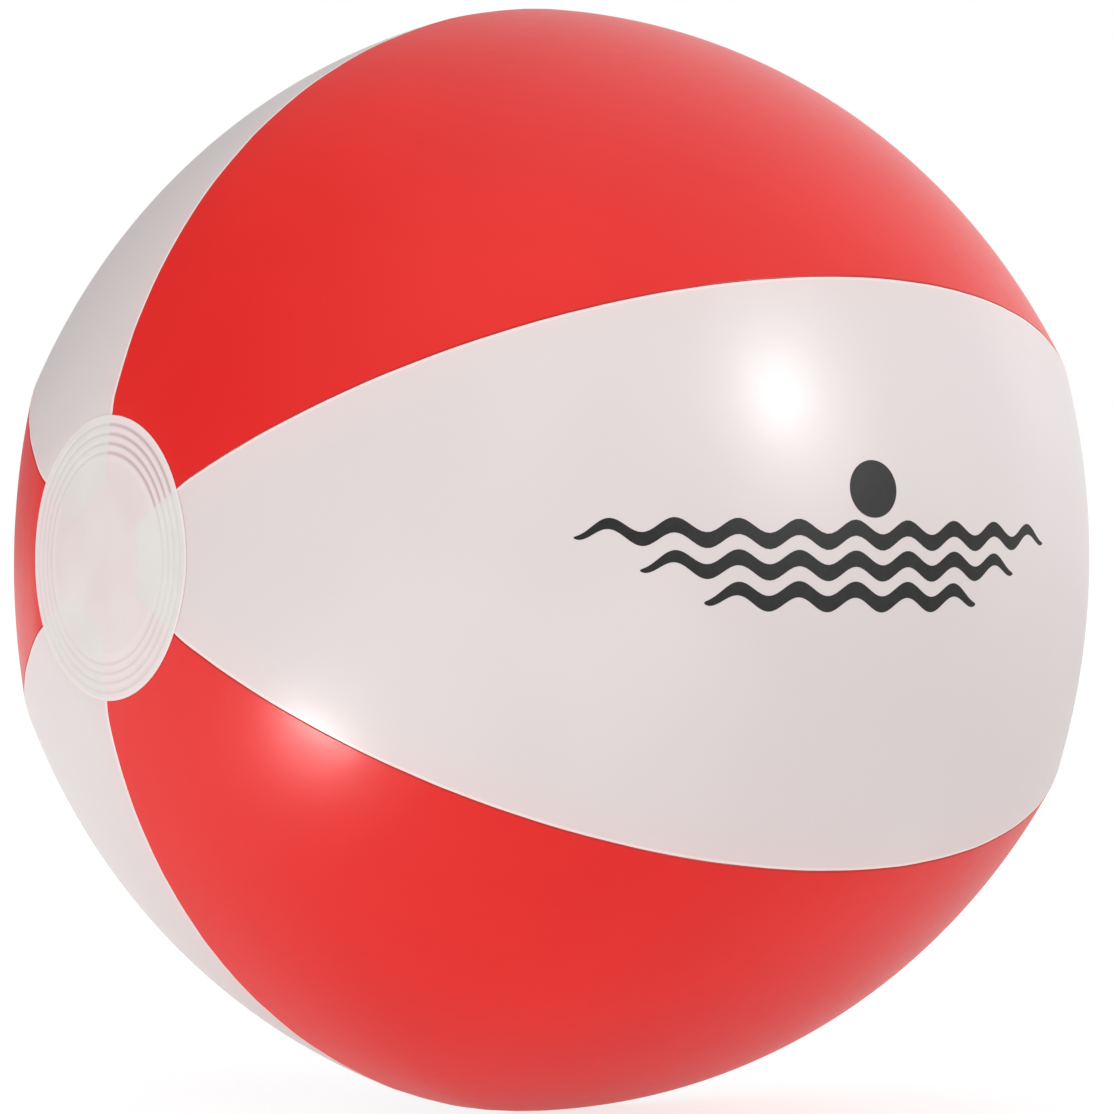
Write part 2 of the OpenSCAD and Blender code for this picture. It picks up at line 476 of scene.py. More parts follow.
def ink_stroke(shape, centre, length, width, fullness, swing, pitch):
    """One stroke of ink on the front gore, a little proud of the film, that follows a wave."""
    tube, ring, point = shape.tube(2 * PRINT_EDGE, PRINT_ROWS)
    under = point > PRINT_EDGE - 0.5
    across = point + under * (2.0 * PRINT_EDGE - 1.0 - 2.0 * point)
    across = across * (2.0 / (PRINT_EDGE - 1)) - 1.0
    share = shape.cos(ring * (math.pi / PRINT_ROWS)) * -STROKE_END
    fade = shape.sqrt(1.0 - shape.size(share) ** fullness)
    along = share * length / 2.0
    rise = shape.cos(along * (2.0 * math.pi) / pitch) * swing
    u = centre[0] + along
    v = centre[1] + rise + across * fade * width / 2.0
    radius = shape["Ball Radius"] - shape["Ink"] * (2.0 * under - 1.0)
    latitude = u / shape["Ball Radius"]
    sweep = radius * shape.cos(latitude) + shape["Arc Offset"]
    angle = v / sweep
    x = sweep * shape.cos(angle) - shape["Arc Offset"]
    y = sweep * shape.sin(angle) * -1.0
    return upright(shape, tube, -math.pi / 2, x, y, radius * shape.sin(latitude))


def print_shape(sizes, finish):
    """The printed mark: rows of rolling waves under a plain round sun."""
    names = ("ball_radius", "arc_offset", "print_along", "print_up", "wave_row", "wave_pitch")
    names += ("wave_length", "wave_height", "ink_stroke", "sun", "ink")
    shape = Shape("Printed Mark", **labelled(sizes, *names), Finish=finish)
    along, up, pitch = (shape[name] for name in ("Print Along", "Print Up", "Wave Pitch"))
    stroke, sun = shape["Ink Stroke"], shape["Sun"]
    wave, swing = shape["Wave Length"], shape["Wave Height"]
    strokes = []
    for row in range(WAVE_ROWS):
        centre = (along, up - pitch * (row - 0.5))
        length = shape["Wave Row"] - wave * (2.0 * row)
        strokes.append(ink_stroke(shape, centre, length, stroke, ROW_FULLNESS, swing, wave))
    centre = (along + sun * 0.4, up + pitch * 0.5 + sun * 0.8)
    strokes.append(ink_stroke(shape, centre, sun, sun, SUN_FULLNESS, 0.0, 1.0))
    joined = shape.tree.nodes.new("GeometryNodeJoinGeometry")
    for stroke in strokes:
        shape.tree.links.new(stroke.socket, joined.inputs[0])
    shape.end(Wire(shape, joined.outputs[0]))
    return shape


# The valve, drawn in millimetres about its own axis: x out along the lug, z up from the film


VALVE_TURN = VALVE_GORE * GORE_STEP - math.pi / 2
WELL_R = 9.0
FLANGE_R, FLANGE_T = 15.0, 0.8
FLANGE_LINES, FLANGE_PITCH, FLANGE_DENT = 3, 1.1, 0.16
WEB_DEPTH, WEB_WALL = 10.0, 0.6
STEM_R, BORE_R, STEM_LOW = 5.0, 3.0, -13.0
RIM_R, RIM_LOW, RIM_TOP = 6.2, 1.2, 2.2
LUG_Z, LUG_W = 1.7, 4.4
STRAP_Z, STRAP_R, STRAP_X = 2.3, 0.6, 9.2
HINGE = Vector((-9.0, 2.9))
HEAD_Z, HEAD_T = 2.5, 1.8
PIN_LOW, PIN_H, PIN_STEPS = -2.8, 4.4, 12
TAB_X, TAB_R = -7.2, 3.0
FLAP_LOW, FLAP_T = -13.8, 0.5
TIP = 1e-6


def laid(place, lift):
    """The place on the valve's gore under or over a place, at this height above the film."""
    along, across = place.y, -place.z
    x = across * math.cos(VALVE_TURN) + along * math.sin(VALVE_TURN)
    y = along * math.cos(VALVE_TURN) - across * math.sin(VALVE_TURN)
    reach = math.hypot(x + ARC_OFFSET, y)
    section = Vector((reach - ARC_OFFSET, place.x)).normalized() * (BALL_R + lift)
    share = (section.x + ARC_OFFSET) / reach
    x, y = (x + ARC_OFFSET) * share - ARC_OFFSET, y * share
    across = x * math.cos(VALVE_TURN) - y * math.sin(VALVE_TURN)
    along = x * math.sin(VALVE_TURN) + y * math.cos(VALVE_TURN)
    return Vector((section.y, along, -across))


def rounded(corners, steps=5):
    """A closed outline from corners of (r, z, radius), with an arc where there is a radius."""
    points = []
    for index, (r, z, size) in enumerate(corners):
        here = Vector((r, z))
        if not size:
            points.append(here)
            continue
        before = (Vector(corners[index - 1][:2]) - here).normalized()
        after = (Vector(corners[(index + 1) % len(corners)][:2]) - here).normalized()
        half = before.angle(after) / 2
        centre = here + (before + after).normalized() * (size / math.sin(half))
        first = (here + before * (size / math.tan(half)) - centre).normalized()
        last = (here + after * (size / math.tan(half)) - centre).normalized()
        points += [centre + first.slerp(last, step / steps) * size for step in range(steps + 1)]
    return points


def divided(points, pitch):
    """The same closed outline with points no further apart than the pitch."""
    result = []
    for here, after in zip(points, points[1:] + points[:1]):
        count = max(1, math.ceil((after - here).length / pitch))
        result += [here.lerp(after, step / count) for step in range(count)]
    return result


def skin(work, rings, closed):
    """Faces between rings of corners, each ring joined to the next. A ring of one corner is a tip."""
    pairs = list(zip(rings, rings[1:] + rings[:1]))
    for low, high in pairs if closed else pairs[:-1]:
        size = max(len(low), len(high))
        for i in range(size):
            j = (i + 1) % size
            corners = (low[i % len(low)], low[j % len(low)], high[j % len(high)], high[i % len(high)])
            corners = tuple(dict.fromkeys(corners))
            if len(corners) > 2:
                work.faces.new(corners)


def turned(outline, around=ROUND):
    """A solid of revolution about z from an outline of (r, z) points, closed or with tips on z."""
    work = bmesh.new()
    rings = []
    for r, z in outline:
        angles = [2 * math.pi * i / around for i in range(around)] if r > TIP else [0.0]
        rings.append([work.verts.new((r * math.cos(a), r * math.sin(a), z)) for a in angles])
    skin(work, rings, closed=outline[0][0] > TIP)
    return work


def strip(path, width, thick, edge):
    """A flat strip with rounded edges that follows a path of (x, z) points."""
    work = bmesh.new()
    w, t = width / 2, thick / 2
    section = rounded([(-w, -t, edge), (w, -t, edge), (w, t, edge), (-w, t, edge)], 3)
    rings = []
    for index, here in enumerate(path):
        way = Vector(path[min(index + 1, len(path) - 1)]) - Vector(path[max(index - 1, 0)])
        normal = Vector((-way.y, way.x)).normalized()
        ring = []
        for across, lift in section:
            x, z = Vector(here) + normal * lift
            ring.append(work.verts.new((x, across, z)))
        rings.append(ring)
    skin(work, rings, closed=False)
    work.faces.new(rings[0])
    work.faces.new(rings[-1])
    return work


def valve_piece(name, parts, finish, lay):
    """One closed mesh object from parts that run into one another, put at the valve's place."""
    made = []
    for number, work in enumerate(parts):
        bmesh.ops.recalc_face_normals(work, faces=work.faces)
        mesh = bpy.data.meshes.new(name)
        work.to_mesh(mesh)
        work.free()
        made.append(placed(f"{name}_{number}", mesh))
    piece = made[0]
    for part in made[1:]:
        joint = piece.modifiers.new("join", "BOOLEAN")
        joint.operation, joint.solver, joint.object = "UNION", "EXACT", part
    mesh = settled(piece)
    piece.modifiers.clear()
    piece.data = mesh
    piece.name = name
    mesh.name = name
    for part in made[1:]:
        bpy.data.objects.remove(part)
    for vertex in mesh.vertices:
        local = vertex.co * MM
        place = VALVE_SEAT + VALVE_OUT * local.x + VALVE_SIDE * local.y + VALVE_UP * local.z
        vertex.co = lay(local, place)
    mesh.shade_smooth()
    mesh.set_sharp_from_angle(angle=SHARP_ANGLE)
    mesh.materials.clear()
    mesh.materials.append(finish)
    return piece


def flange_parts():
    """Welded ring round the well, with three weld lines pressed into it."""
    low = -0.05
    corners = [(WELL_R, low, 0), (FLANGE_R, low, 0), (FLANGE_R, FLANGE_T, 0.3), (WELL_R, FLANGE_T, 0)]
    pressed = []
    for r, z in divided(rounded(corners), 0.12):
        line = (FLANGE_R - 1.2 - r) / FLANGE_PITCH
        near = min(max(round(line), 0), FLANGE_LINES - 1)
        dent = max(1.0 - ((line - near) * FLANGE_PITCH / 0.4) ** 2, 0.0) ** 2
        pressed.append(Vector((r, z - FLANGE_DENT * dent * (z > 0.5))))
    return [turned(pressed, 144)]


def web_parts():
    """Soft cup that hangs from the flange and holds the stem."""
    low, outer, hold = -WEB_DEPTH, WELL_R - 0.02, STEM_R + 0.02
    inner = WELL_R - WEB_WALL
    corners = [
        (hold, low, 0),
        (outer, low, 2.0),
        (outer, FLANGE_T, 0.15),
        (inner, FLANGE_T, 0.25),
        (inner, low + WEB_WALL, 1.4),
        (hold, low + WEB_WALL, 0),
    ]
    return [turned(divided(rounded(corners), 0.25))]


def upright_valve(local, place):
    """Leaves a piece as it was drawn, about the valve's straight axis."""
    return place


def on_film(local, place):
    """Lays the flange on the curved film."""
    return laid(place, local.z)


def well_edge(local, place):
    """Leaves the cup's foot in place and lets its upper edge follow the film."""
    share = min(max((local.z / MM + 6.0) / 5.0, 0.0), 1.0)
    return place.lerp(laid(place, local.z), share * share * (3.0 - 2.0 * share))


def stem_parts():
    """Tube with a rim that the stopper closes, and the lug that carries its strap."""
    corners = [
        (BORE_R, STEM_LOW, 0.25),
        (STEM_R, STEM_LOW, 0.3),
        (STEM_R, RIM_LOW, 0.35),
        (RIM_R, RIM_LOW, 0.25),
        (RIM_R, RIM_TOP, 0.25),
        (BORE_R, RIM_TOP, 0.3),
    ]
    lug = strip([(4.0 + 0.5 * k, LUG_Z) for k in range(11)], LUG_W, 1.0, 0.3)
    return [turned(rounded(corners)), lug]


def stopper_parts():
    """Head with a dished top, a pin that clears the bore as it swings out, and a ribbed tab."""
    # The pin's side is an arc about the hinge, so that it leaves the bore without rubbing
    arm = math.hypot(BORE_R - HINGE.x, HINGE.y - RIM_TOP) - 0.05
    pin = []
    for step in range(PIN_STEPS + 1):
        z = RIM_TOP - PIN_H + PIN_H * step / PIN_STEPS
        pin.append((HINGE.x + math.sqrt(arm**2 - (z - HINGE.y) ** 2), z, 0))
    top, dish = HEAD_Z + HEAD_T, HEAD_Z + 1.2
    corners = [(0.0, PIN_LOW, 0), (1.5, PIN_LOW, 0.5), *pin, (2.9, HEAD_Z, 0), (RIM_R, HEAD_Z, 0.2)]
    corners += [(RIM_R, top, 0.55), (4.5, top, 0.3), (4.1, dish, 0.3), (0.0, dish, 0)]
    head = turned(rounded(corners, 4))
    tab = turned(rounded([(0.0, 0.0, 0), (TAB_R, 0.0, 0.25), (TAB_R, 1.0, 0.3), (0.0, 1.0, 0)]))
    bmesh.ops.translate(tab, vec=(TAB_X, 0.0, HEAD_Z), verts=tab.verts)
    bridge = strip([(TAB_X + 0.4 * k, HEAD_Z + 0.5) for k in range(10)], 2 * TAB_R - 0.1, 0.98, 0.25)
    ribs = []
    for k in range(3):
        rib = strip([(-0.25, 0.0), (0.0, 0.0), (0.25, 0.0)], 3.6 - 0.7 * k, 0.7, 0.2)
        bmesh.ops.translate(rib, vec=(TAB_X - 0.1 - 0.9 * k, 0.0, HEAD_Z + 1.0), verts=rib.verts)
        ribs.append(rib)
    return [head, bridge, tab, *ribs]


def strap_parts():
    """Strap that folds back from the lug's end over to the stopper's head."""
    path = [(STRAP_X - 0.35, LUG_Z), (STRAP_X - 0.2, LUG_Z)]
    for step in range(17):
        angle = math.pi * (step / 16 - 0.5)
        path.append((STRAP_X + STRAP_R * math.cos(angle), STRAP_Z + STRAP_R * math.sin(angle)))
    path += [(STRAP_X - 0.3 * k, STRAP_Z + STRAP_R) for k in range(1, 12)]
    return [strip(path, 3.6, 0.8, 0.2)]


def flap_parts():
    """Thin flap under the stem's inner end, with the edge that it bends at."""
    top = FLAP_LOW + FLAP_T
    disc = turned(rounded([(0.0, FLAP_LOW, 0), (4.0, FLAP_LOW, 0.15), (4.0, top, 0.15), (0.0, top, 0)]))
    bar = strip([(2.0 + 0.25 * k, FLAP_LOW + FLAP_T / 2) for k in range(10)], 4.0, FLAP_T, 0.2)
    return [disc, bar]


# Finishes

# Scales of the film's noises, per metre, and how far they move its roughness
GRAIN_SCALE, FILM_PEEL, DISC_PEEL = 2600.0, 260.0, 300.0
PEEL_SHARE, GRAIN_SHARE = 0.08, 0.05


def linear(colour):
    """A display colour, 0 to 255, as the linear colour that a node socket holds."""
    shares = [c / 255 for c in colour]
    curve = [c / 12.92 if c <= 0.04045 else ((c + 0.055) / 1.055) ** 2.4 for c in shares]
    return (*curve, 1.0)


def new_finish(name):
    """An empty material, its net and the wire of places on the piece that wears it."""
    material = bpy.data.materials.new(name)
    material.use_nodes = True
    material.node_tree.nodes.clear()
    net = Net(material.node_tree)
    return material, net, net.add("ShaderNodeTexCoord", output="Object")


def coat_of(net, colour, roughness, normal, **constants):
    sockets = {"Base Color": colour, "Roughness": roughness, "Normal": normal}
    sockets.update({name.replace("_", " "): value for name, value in constants.items()})
    surface = net.add("ShaderNodeBsdfPrincipled", sockets)
    net.add("ShaderNodeOutputMaterial", {"Surface": surface})


def satin_coat(net, place, look, colour, peel_scale, grain_share):
    """The film's soft gloss over a colour, with its orange peel and fine grain."""
    grain = net.noise(place, GRAIN_SCALE, 1.0)
    peel = net.noise(place, peel_scale)
    roughness = look.roughness + (peel - 0.5) * PEEL_SHARE
    if grain_share:
        roughness = roughness + (grain - 0.5) * grain_share
    bump = net.bump(look.bump, 0.1 * MM, grain * 0.25 + peel)
    gloss = {"Coat_Weight": look.coat, "Coat_Roughness": look.coat_roughness}
    coat_of(net, colour, roughness, bump, IOR=1.53, Specular_IOR_Level=look.specular, **gloss)


def from_axis(net, place):
    """Distance of a point from the polar axis, with its places across that axis."""
    x, y, z = net.parts(place)
    return net.sqrt(y * y + z * z), y, z


def from_seam(net, place):
    """Distance of a point from the nearest seam's plane."""
    r, y, z = from_axis(net, place)
    angle = net.math("ARCTAN2", y, z)
    nearest = net.math("FLOORED_MODULO", angle + HALF_GORE, GORE_STEP) - HALF_GORE
    return r * net.size(net.sin(nearest))


def film_finish(look, film):
    """Satin film: a soft drift of tint, painted light from inside the ball beside each seam, painted
    highlight on the white film's edge and painted shade on the red film's edge at a seam, grain and
    orange peel.
    """
    material, net, place = new_finish(f"{film.title()} Film")
    names = ("low", "high", "glow", "edge", "weld")
    low, high, glow, edge, seam_shade_width = (getattr(look, f"{film}_{name}") for name in names)
    distance = from_seam(net, place)
    # A random drift between two tints; the white film's tints are its own near-white with a painted
    # pink cast of the red light inside the ball
    colour = net.drift(net.noise(place, 9.0), low, high, 0.15)
    # Painted light from inside the ball that shows through the film beside each seam: pink on the white
    # film, deeper red on the red film
    near = net.ramp(distance, look.glow_reach, 0.0) * look.glow
    colour = net.tint(near, colour, linear(glow))
    # Painted highlight along the white film's rounded edge at a seam, and painted shade in the red
    # film's crease there
    weld = net.ramp(distance, seam_shade_width * 1.25, seam_shade_width * 0.75)
    colour = net.tint(weld, colour, linear(edge))
    satin_coat(net, place, look, colour, FILM_PEEL, GRAIN_SHARE)
    return material


def disc_finish(look, sizes):
    """White disc film over the gore ends, which show through it as paler petals."""
    material, net, place = new_finish("Disc Film")
    r, y, z = from_axis(net, place)
    disc_r = sizes.disc_radius
    # Petals, one for each white gore under the disc
    angle = net.math("ARCTAN2", z, -y)
    third = 2 * math.pi / 3
    folded = net.math("FLOORED_MODULO", angle + third / 2, third) - third / 2
    chord = net.ramp(r * net.cos(folded), disc_r * 0.38, disc_r * 0.50)
    within = net.ramp(net.size(folded), HALF_GORE + 0.02, HALF_GORE - 0.02)
    forward = net.ramp(y, 0.3 * disc_r, -0.5 * disc_r)
    petal = chord * within * (0.8 + 0.2 * forward)
    # Weld rings, with painted shade in their grooves that is strongest towards one side of the disc,
    # and paler bands between them
    aside = net.size(from_ring(net, r, sizes.first_ring, sizes.ring_pitch, sizes.rings))
    line = net.ramp(aside, sizes.ring_width * 1.1, sizes.ring_width * 0.2)
    ridge = net.ramp(aside, sizes.ring_width * 0.9, sizes.ring_width * 1.5)
    banded = net.ramp(r, disc_r * 0.66, disc_r * 0.69)
    facing = net.most(net.cos(angle - look.groove_shade_side), 0.0)
    pressed = line * (0.15 + 0.85 * facing * facing)
    cloud = net.noise(place, 60.0)
    over_red = net.drift(cloud, look.disc_low, look.disc_high)
    over_red = net.tint(banded * ridge * 0.5, over_red, linear(look.band))
    over_red = net.tint(pressed, over_red, linear(look.ring_shade_on_red))
    over_white = net.drift(cloud, look.petal_low, look.petal_high)
    over_white = net.tint(pressed * 0.5, over_white, linear(look.ring_shade_on_white))
    colour = net.tint(petal, over_red, over_white)
    # Painted highlight along the disc's rounded rim
    rim = net.ramp(r, disc_r - 0.8 * MM, disc_r - 0.4 * MM)
    colour = net.tint(rim, colour, linear(look.rim))
    satin_coat(net, place, look, colour, DISC_PEEL, 0.0)
    return material


def ink_finish(look):
    """Dark screen ink, a little matt, with faint mottling."""
    material, net, place = new_finish("Ink")
    mottle = net.noise(place, 420.0, 3.0)
    colour = net.drift(mottle, look.ink_low, look.ink_high)
    bump = net.bump(0.2, 0.05 * MM, mottle)
    coat_of(net, colour, 0.5 + (mottle - 0.5) * 0.2, bump, IOR=1.5, Specular_IOR_Level=0.25)
    return material


def valve_finish(look):
    """Soft moulded white of the valve, slightly milky, with fine moulding grain."""
    material, net, place = new_finish("Valve White")
    cloud = net.noise(place, 160.0)
    colour = net.drift(cloud, look.valve_low, look.valve_high)
    bump = net.bump(0.25, 0.06 * MM, net.noise(place, 3200.0))
    roughness = 0.34 + (cloud - 0.5) * 0.12
    coat_of(net, colour, roughness, bump, IOR=1.52, Coat_Weight=0.2, Coat_Roughness=0.2)
    return material


def grey(tone):
    return (tone, tone, tone, 1.0)


def floor_finish(stage):
    """Pale, matt floor that glows a little, so that it runs into the white background."""
    material, net, place = new_finish("Studio Floor")
    finish = {"Roughness": 1.0, "Specular IOR Level": 0.0, "Emission Color": WHITE}
    seen_glow = {"Base Color": grey(stage.floor_tone), "Emission Strength": stage.floor_glow}
    bright = net.add("ShaderNodeBsdfPrincipled", {**finish, **seen_glow})
    x, y, z = net.parts(place)
    aside = net.ramp(x * 0.8 - y * 0.6, -0.3, 0.3)
    shades = net.tint(aside, grey(stage.floor_left), grey(stage.floor_right))
    given_glow = {"Base Color": shades, "Emission Strength": stage.floor_light}
    plain = net.add("ShaderNodeBsdfPrincipled", {**finish, **given_glow})
    seen = net.add("ShaderNodeLightPath", output="Is Camera Ray")
    surface = net.add("ShaderNodeMixShader", {0: seen, 1: plain, 2: bright})
    net.add("ShaderNodeOutputMaterial", {"Surface": surface})
    return material


def studio_light(stage):
    """White all round to the camera, and a room that is a little dimmer at its upper left."""
    world = bpy.data.worlds.new("Studio")
    world.use_nodes = True
    world.node_tree.nodes.clear()
    net = Net(world.node_tree)
    way = net.add("ShaderNodeTexCoord", output="Generated")
    sockets = {0: way, 1: Vector(stage.dim_side).normalized()}
    towards = net.add("ShaderNodeVectorMath", sockets, "Value", operation="DOT_PRODUCT")
    strength = stage.ambient - net.ramp(towards, 0.3, 0.95) * stage.dim
    strength = net.most(strength, net.add("ShaderNodeLightPath", output="Is Camera Ray"))
    sky = net.add("ShaderNodeBackground", {"Color": WHITE, "Strength": strength})
    net.add("ShaderNodeOutputWorld", {"Surface": sky})
    return world


# Sizes and looks that a user may change


def a_number(name, description, default, **more):
    return FloatProperty(name=name, description=description, default=default, **more)


def a_length(*values):
    return a_number(*values, unit="LENGTH", precision=5)


def a_share(*values):
    return a_number(*values, subtype="FACTOR")


def a_power(*values):
    return a_number(*values, min=0.0)


def a_colour(name, description, default):
    """A display colour, 0 to 255."""
    return FloatVectorProperty(name=name, description=description, default=default, min=0, max=255)


class BallSizes(bpy.types.PropertyGroup):
    """Sizes of the film, the pole discs and the print"""

    ball_radius: a_length("Ball Radius", "From the centre to a gore's middle", BALL_R)
    arc_offset: a_length("Arc Offset", "From the polar axis to the centre of a gore's arc", ARC_OFFSET)
    film: a_length("Film", "Thickness of the film", 0.3 * MM)
    fin: a_length("Fin", "Width of the welded fin inside a seam", 2.5 * MM)
    shoulder: a_length("Shoulder", "Radius of the film's bend into a seam", 0.35 * MM)
    plate_height: a_length("Plate Height", "From the centre to the gore ends", PLATE_H)
    plate_radius: a_length("Plate Radius", "Radius where the pole flattens", PLATE_R)
    crown: a_length("Crown", "Rise of the pole under the disc", 1.9 * MM)
    kink: a_length("Kink", "Softness of the bend at the disc's edge", 0.6 * MM)
    pucker: a_length("Pucker", "Height of the small gathers at a seam", 0.5 * MM)
    pucker_length: a_length("Pucker Length", "Length of a gather along the seam", 11 * MM)
    pucker_reach: a_length("Pucker Reach", "Distance over which the gathers fade", 7 * MM)
    disc_radius: a_length("Disc Radius", "Radius of a pole disc", DISC_R)
    disc_film: a_length("Disc Film", "Thickness of a pole disc", DISC_T)
    rings: IntProperty(name="Rings", description="Number of weld rings", default=4, min=1, max=6)
    first_ring: a_length("First Ring", "Radius of the outermost weld ring", DISC_R - 2.5 * MM)
    ring_pitch: a_length("Ring Pitch", "Distance between weld rings", 2.5 * MM)
    ring_depth: a_length("Ring Depth", "Depth of a weld ring", 0.13 * MM)
    ring_width: a_length("Ring Width", "Half the width of a weld ring", 0.7 * MM)
    print_along: a_length("Print Along", "Place of the print along the gore", -13.6 * MM)
    print_up: a_length("Print Up", "Place of the print across the gore", 6.5 * MM)
    wave_row: a_length("Wave Row", "Length of the longest row of waves", 154 * MM)
    wave_pitch: a_length("Wave Pitch", "Distance between rows of waves", 8 * MM)
    wave_length: a_length("Wave Length", "Length of one wave", 17 * MM)
    wave_height: a_length("Wave Height", "Height of a wave above its row's middle", 1.9 * MM)
    ink_stroke: a_length("Ink Stroke", "Width of a stroke of ink", 4.2 * MM)
    sun: a_length("Sun", "Diameter of the sun", 15 * MM)
    ink: a_length("Ink", "Height of the ink above the film", 0.04 * MM)


class BallLooks(bpy.types.PropertyGroup):
    """Colours and gloss of the film, the ink and the valve"""

    roughness: a_share("Roughness", "Roughness of the satin film", 0.4)
    specular: a_share("Specular", "Strength of the film's own reflection", 0.2)
    coat: a_share("Coat", "Gloss over the film", 0.25)
    coat_roughness: a_share("Coat Roughness", "Softness of the gloss", 0.28)
    bump: a_share("Bump", "Strength of the film's grain", 0.15)
    # Side of the disc on which the painted shade in the weld ring grooves is strongest; the grooves are
    # as deep all round
    groove_shade_side: a_number(
        "Deep Side", "Side on which the weld rings are deepest", math.radians(50), subtype="ANGLE"
    )
    # Painted light from inside the ball that shows through the film beside a seam: its share and how
    # far it reaches
    glow: a_share("Glow", "Tint of the film beside a seam", 0.35)
    glow_reach: a_length("Glow Reach", "Distance over which that tint fades", 14 * MM)
    # The white film's own near-white with a painted pink cast of the red light inside the ball
    white_low: a_colour("White Low", "Darker tint of the white film", (224, 213, 213))
    white_high: a_colour("White High", "Paler tint of the white film", (228, 219, 219))
    # Painted pink light from inside the ball, beside a seam on the white film
    white_glow: a_colour("White Glow", "Tint of the white film beside a seam", (236, 214, 212))
    # Painted highlight along the white film's edge at a seam, and the width of that band
    white_edge: a_colour("White Edge", "Welded edge of the white film", (252, 228, 224))
    white_weld: a_length("White Weld", "Width of the white film's welded edge", 0.85 * MM)
    red_low: a_colour("Red Low", "Darker tint of the red film", (229, 28, 24))
    red_high: a_colour("Red High", "Paler tint of the red film", (235, 32, 26))
    # Painted red light from inside the ball, beside a seam on the red film
    red_glow: a_colour("Red Glow", "Tint of the red film beside a seam", (230, 24, 20))
    # Painted shade in the red film's crease at a seam, and the width of that band
    red_edge: a_colour("Red Edge", "Welded edge of the red film", (196, 30, 30))
    red_weld: a_length("Red Weld", "Width of the red film's welded edge", 0.5 * MM)
    disc_low: a_colour("Disc Low", "Darker tint of the disc", (230, 216, 215))
    disc_high: a_colour("Disc High", "Paler tint of the disc", (234, 222, 220))
    band: a_colour("Band", "Disc between its weld rings", (240, 226, 225))
    # Painted shade in the weld ring grooves, over a red and over a white gore
    ring_shade_on_red: a_colour("Ring On Red", "Weld ring over a red gore", (206, 176, 180))
    ring_shade_on_white: a_colour("Ring On White", "Weld ring over a white gore", (206, 203, 200))
    petal_low: a_colour("Petal Low", "Darker tint of the disc over a white gore", (226, 222, 218))
    petal_high: a_colour("Petal High", "Paler tint of the disc over a white gore", (230, 227, 223))
    # Painted highlight along the disc's rounded rim
    rim: a_colour("Rim", "Rim of the disc", (242, 228, 227))
    ink_low: a_colour("Ink Low", "Darker tint of the ink", (26, 24, 25))
    ink_high: a_colour("Ink High", "Paler tint of the ink", (33, 31, 32))
    valve_low: a_colour("Valve Low", "Darker tint of the valve", (226, 222, 218))
    valve_high: a_colour("Valve High", "Paler tint of the valve", (236, 233, 229))


class StageSizes(bpy.types.PropertyGroup):
    """Camera, lights and floor"""

    distance: a_length("Distance", "From the ball's centre to the camera", 1.4682)
    lens: a_number("Lens", "Focal length of the camera", 168.06, unit="CAMERA")
    ambient: a_power("Ambient", "Strength of the room's light", 1.05)
    dim: a_power("Dim", "Loss of light on the dim side", 0.8)
    dim_side: FloatVectorProperty(
        name="Dim Side", description="Direction of the room's dim side",
        default=(-0.35, 0.9, 0.25), subtype="DIRECTION",
    )
    key: a_power("Key", "Power of the main highlight", 30.0)
    low_card: a_power("Low Card", "Power of the card by the floor", 0.16)
    left: a_power("Left", "Power of the soft light on the left", 3.0)
    floor_tone: a_share("Floor Tone", "Share of light that the floor returns", 0.36)
    floor_glow: a_power("Floor Glow", "Light that the floor gives by itself", 0.76)
    floor_light: a_power("Floor Light", "Light that the floor throws up at the ball", 0.32)
    floor_left: a_share("Floor Left", "Share of light thrown up on the ball's left", 0.85)
    floor_right: a_share("Floor Right", "Share of light thrown up on the ball's right", 0.54)


# Operators


class BALL_OT_gores(bpy.types.Operator):
    """Make the six gores of film"""

    bl_idname = "ball.gores"
    bl_label = "Gores"

    def execute(self, context):
        sizes, looks = context.scene.ball_sizes, context.scene.ball_looks
        finishes = {film: film_finish(looks, film) for film in FILMS}
        shape = gore_shape(sizes, finishes["white"])
        for number, node in enumerate(GORES):
            colour = FILMS[number % 2]
            own = {"Gore": number, "Finish": finishes[colour]}
            if number == VALVE_GORE:
                own["Well Radius"] = WELL_R * MM
            piece = shape.grow(node.replace("gore", "film"), **own)
            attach(piece, "ball")
            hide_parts(node)
        return {"FINISHED"}


class BALL_OT_pole_discs(bpy.types.Operator):
    """Make the two discs that close the poles"""

    bl_idname = "ball.pole_discs"
    bl_label = "Pole Discs"

    def execute(self, context):
        sizes = context.scene.ball_sizes
        shape = disc_shape(sizes, disc_finish(context.scene.ball_looks, sizes))
        for side, hand in (("left", -1.0), ("right", 1.0)):
            piece = shape.grow("disc_film_" + side, Hand=hand)
            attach(piece, "ball")
            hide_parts("pole_disc_" + side)
        return {"FINISHED"}


class BALL_OT_print(bpy.types.Operator):
    """Make the printed mark on the front gore"""

    bl_idname = "ball.print"
    bl_label = "Print"

    def execute(self, context):
        finish = ink_finish(context.scene.ball_looks)
        piece = print_shape(context.scene.ball_sizes, finish).grow("wave_print")
        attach(piece, "ball")
        return {"FINISHED"}


# The valve's pieces: name, the node each replaces, its shape and how it is laid on the ball
VALVE = (
    ("valve_ring", "valve_flange", flange_parts, on_film),
    ("valve_cup", "valve_web", web_parts, well_edge),
    ("valve_tube", "valve_stem", stem_parts, upright_valve),
    ("valve_plug", "stopper", stopper_parts, upright_valve),
    ("valve_strap", "tether", strap_parts, upright_valve),
    ("valve_flap", "check_flap", flap_parts, upright_valve),
)


